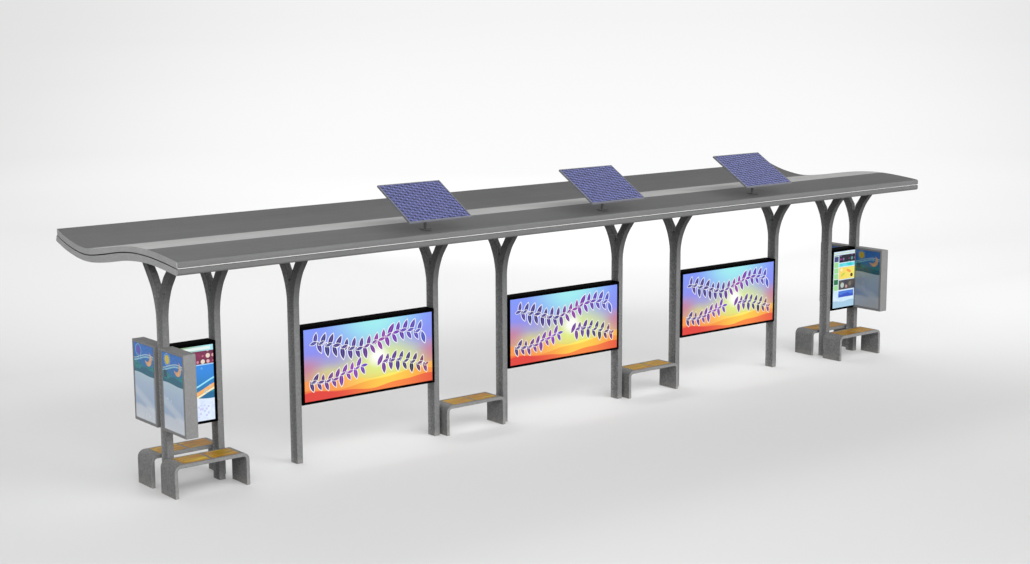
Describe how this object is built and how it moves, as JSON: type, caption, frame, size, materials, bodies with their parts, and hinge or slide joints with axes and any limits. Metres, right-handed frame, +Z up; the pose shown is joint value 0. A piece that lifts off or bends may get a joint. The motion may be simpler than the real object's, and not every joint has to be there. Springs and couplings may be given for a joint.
{
  "type": "bus shelter",
  "caption": "Long open bus shelter: a wavy two-layer roof on a row of forked steel posts, with screens, light boxes, benches and tilted solar panels.",
  "frame": {"origin": "on the ground under the middle of the overall outline", "axes": "+X along the row of posts, to the right seen from the front; -Y the front, where the low edge of the roof and the solar panels are; +Z up"},
  "size_m": [14.62, 3.7004, 3.8768],
  "materials": {
    "post_paint": "satin dark grey with a fine speckle",
    "roof_dark": "matt dark grey coated sheet",
    "roof_light": "matt light grey coated sheet",
    "roof_lower": "matt grey coated sheet",
    "rib_metal": "dark mill finish, hidden in the gap",
    "strip_diffuser": "milky diffuser",
    "solar_frame": "anodised",
    "solar_cell": "blue-violet cells under a glossy sheet",
    "pole_paint": "satin dark grey",
    "case_black": "glossy black",
    "screen_picture": "bright picture panel",
    "end_picture": "bright picture panel",
    "box_silver": "satin silver-grey",
    "poster_print": "backlit print behind a clear sheet",
    "bench_paint": "satin grey",
    "seat_wood": "oiled yellow-brown timber"
  },
  "bodies": {
    "root": {"post_1": "post_paint", "post_2": "post_paint", "post_3": "post_paint", "post_4": "post_paint", "post_5": "post_paint", "post_6": "post_paint", "post_7": "post_paint", "post_8": "post_paint", "post_9": "post_paint", "post_10": "post_paint", "roof_upper_front": "roof_dark", "roof_upper_middle": "roof_light", "roof_upper_back": "roof_dark", "roof_lower": "roof_lower", "roof_ribs": "rib_metal", "front_light_strip": "strip_diffuser", "solar_frame_1": "solar_frame", "solar_frame_2": "solar_frame", "solar_frame_3": "solar_frame", "solar_cells": "solar_cell", "solar_poles": "pole_paint", "screen_case_1": "case_black", "screen_panel_1": "screen_picture", "screen_case_2": "case_black", "screen_panel_2": "screen_picture", "screen_case_3": "case_black", "screen_panel_3": "screen_picture", "end_case_left": "case_black", "end_case_right": "case_black", "end_panels": "end_picture", "light_box_left_front": "box_silver", "light_box_left_back": "box_silver", "posters_left": "poster_print", "light_box_right_front": "box_silver", "light_box_right_back": "box_silver", "posters_right": "poster_print", "bench_left_front": "bench_paint", "bench_left_back": "bench_paint", "bench_right_front": "bench_paint", "bench_right_back": "bench_paint", "bench_middle_1": "bench_paint", "bench_middle_2": "bench_paint", "seats_left": "seat_wood", "seats_middle": "seat_wood", "seats_right": "seat_wood"}
  },
  "joints": []
}
